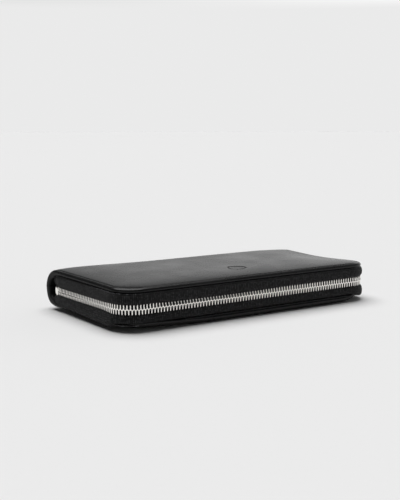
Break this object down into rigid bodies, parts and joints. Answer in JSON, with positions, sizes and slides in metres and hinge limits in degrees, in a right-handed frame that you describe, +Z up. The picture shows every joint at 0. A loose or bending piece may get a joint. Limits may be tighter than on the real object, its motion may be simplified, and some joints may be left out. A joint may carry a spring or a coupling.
{
  "type": "long wallet",
  "caption": "Zip-around long wallet in smooth black leather with metal teeth, a card panel in each cover and a zipped coin pocket between two note compartments.",
  "frame": {"origin": "middle of the bottom cover's flat outer face, under the centre of the closed wallet's plan", "axes": "+X along the wallet, towards the side where the slider parks; +Y from the zipped front to the spine; +Z up, through the closed wallet's thickness"},
  "size_m": [0.2024, 0.101, 0.027],
  "materials": {
    "outer_leather": "smooth, semi-gloss",
    "inner_leather": "fine grain, satin",
    "lining_fabric": "twill",
    "padding_foam": "thin foam",
    "stiffener_board": "bonded fibre board",
    "zip_tape_fabric": "woven polyester tape",
    "zip_metal": "polished nickel"
  },
  "bodies": {
    "bottom_half": {"bottom_cover_leather": "outer_leather", "bottom_cover_padding": "padding_foam", "bottom_cover_board": "stiffener_board", "bottom_cover_filler": "stiffener_board", "bottom_lining": "lining_fabric", "lower_zip_tape": "zip_tape_fabric", "lower_zip_teeth": "zip_metal", "lower_card_backing": "inner_leather", "lower_card_slot_1": "inner_leather", "lower_card_slot_2": "inner_leather", "lower_card_slot_3": "inner_leather", "lower_card_slot_4": "inner_leather", "lower_gusset_left": "inner_leather", "lower_gusset_right": "inner_leather", "spine_leather": "outer_leather", "spine_reinforcement": "stiffener_board", "spine_lining": "lining_fabric", "zip_bottom_stop": "zip_metal", "zip_top_stop_lower": "zip_metal"},
    "coin_leaf": {"coin_pocket_lower_wall": "inner_leather", "coin_pocket_upper_wall": "inner_leather", "coin_pocket_side_gusset": "inner_leather", "coin_pocket_hinge_strip": "inner_leather", "coin_zip_lower_tape": "zip_tape_fabric", "coin_zip_upper_tape": "zip_tape_fabric", "coin_mouth_lower_facing": "inner_leather", "coin_mouth_upper_facing": "inner_leather", "coin_zip_lower_teeth": "zip_metal", "coin_zip_upper_teeth": "zip_metal", "coin_zip_end_stops": "zip_metal"},
    "top_half": {"top_cover_leather": "outer_leather", "top_cover_padding": "padding_foam", "top_cover_board": "stiffener_board", "top_cover_filler": "stiffener_board", "top_lining": "lining_fabric", "upper_zip_tape": "zip_tape_fabric", "upper_zip_teeth": "zip_metal", "upper_card_backing": "inner_leather", "upper_card_slot_1": "inner_leather", "upper_card_slot_2": "inner_leather", "upper_card_slot_3": "inner_leather", "upper_card_slot_4": "inner_leather", "upper_gusset_left": "inner_leather", "upper_gusset_right": "inner_leather", "zip_top_stop_upper": "zip_metal"},
    "zip_slider": {"zip_slider_body": "zip_metal", "zip_slider_bridge": "zip_metal"},
    "zip_pull": {"zip_pull_link": "zip_metal", "zip_pull_tab": "outer_leather"},
    "coin_slider": {"coin_slider_body": "zip_metal", "coin_slider_bridge": "zip_metal"},
    "coin_pull": {"coin_slider_pull": "zip_metal"}
  },
  "joints": [
    {"name": "coin_leaf_swing", "type": "hinge", "parent": "bottom_half", "child": "coin_leaf", "pos_m": [0, 0.0365, 0.0135], "axis": [-1, 0, 0], "range_deg": [0, 27.5], "deforming": ["spine_leather", "spine_reinforcement", "spine_lining", "lower_gusset_left", "lower_gusset_right"]},
    {"name": "top_cover_swing", "type": "hinge", "parent": "coin_leaf", "child": "top_half", "pos_m": [0, 0.0365, 0.0135], "axis": [-1, 0, 0], "range_deg": [0, 27.5], "deforming": ["spine_leather", "spine_reinforcement", "spine_lining", "upper_gusset_left", "upper_gusset_right"]},
    {"name": "zip_slide", "type": "slide", "parent": "bottom_half", "child": "zip_slider", "axis": [0, -1, 0], "range_m": [0, 0.057], "deforming": ["lower_zip_teeth", "upper_zip_teeth"]},
    {"name": "zip_pull_swing", "type": "hinge", "parent": "zip_slider", "child": "zip_pull", "pos_m": [0.10145, 0.029, 0.0135], "axis": [0, 0, 1], "range_deg": [0, 180]},
    {"name": "coin_zip_slide", "type": "slide", "parent": "coin_leaf", "child": "coin_slider", "axis": [-1, 0, 0], "range_m": [0, 0.134], "deforming": ["coin_zip_lower_teeth", "coin_zip_upper_teeth"]},
    {"name": "coin_pull_swing", "type": "hinge", "parent": "coin_slider", "child": "coin_pull", "pos_m": [0.0679, -0.0338, 0.0135], "axis": [0, 0, 1], "range_deg": [0, 180]}
  ],
  "couplings": [
    {"joint": "top_cover_swing", "follows": "coin_leaf_swing", "ratio": 1}
  ]
}
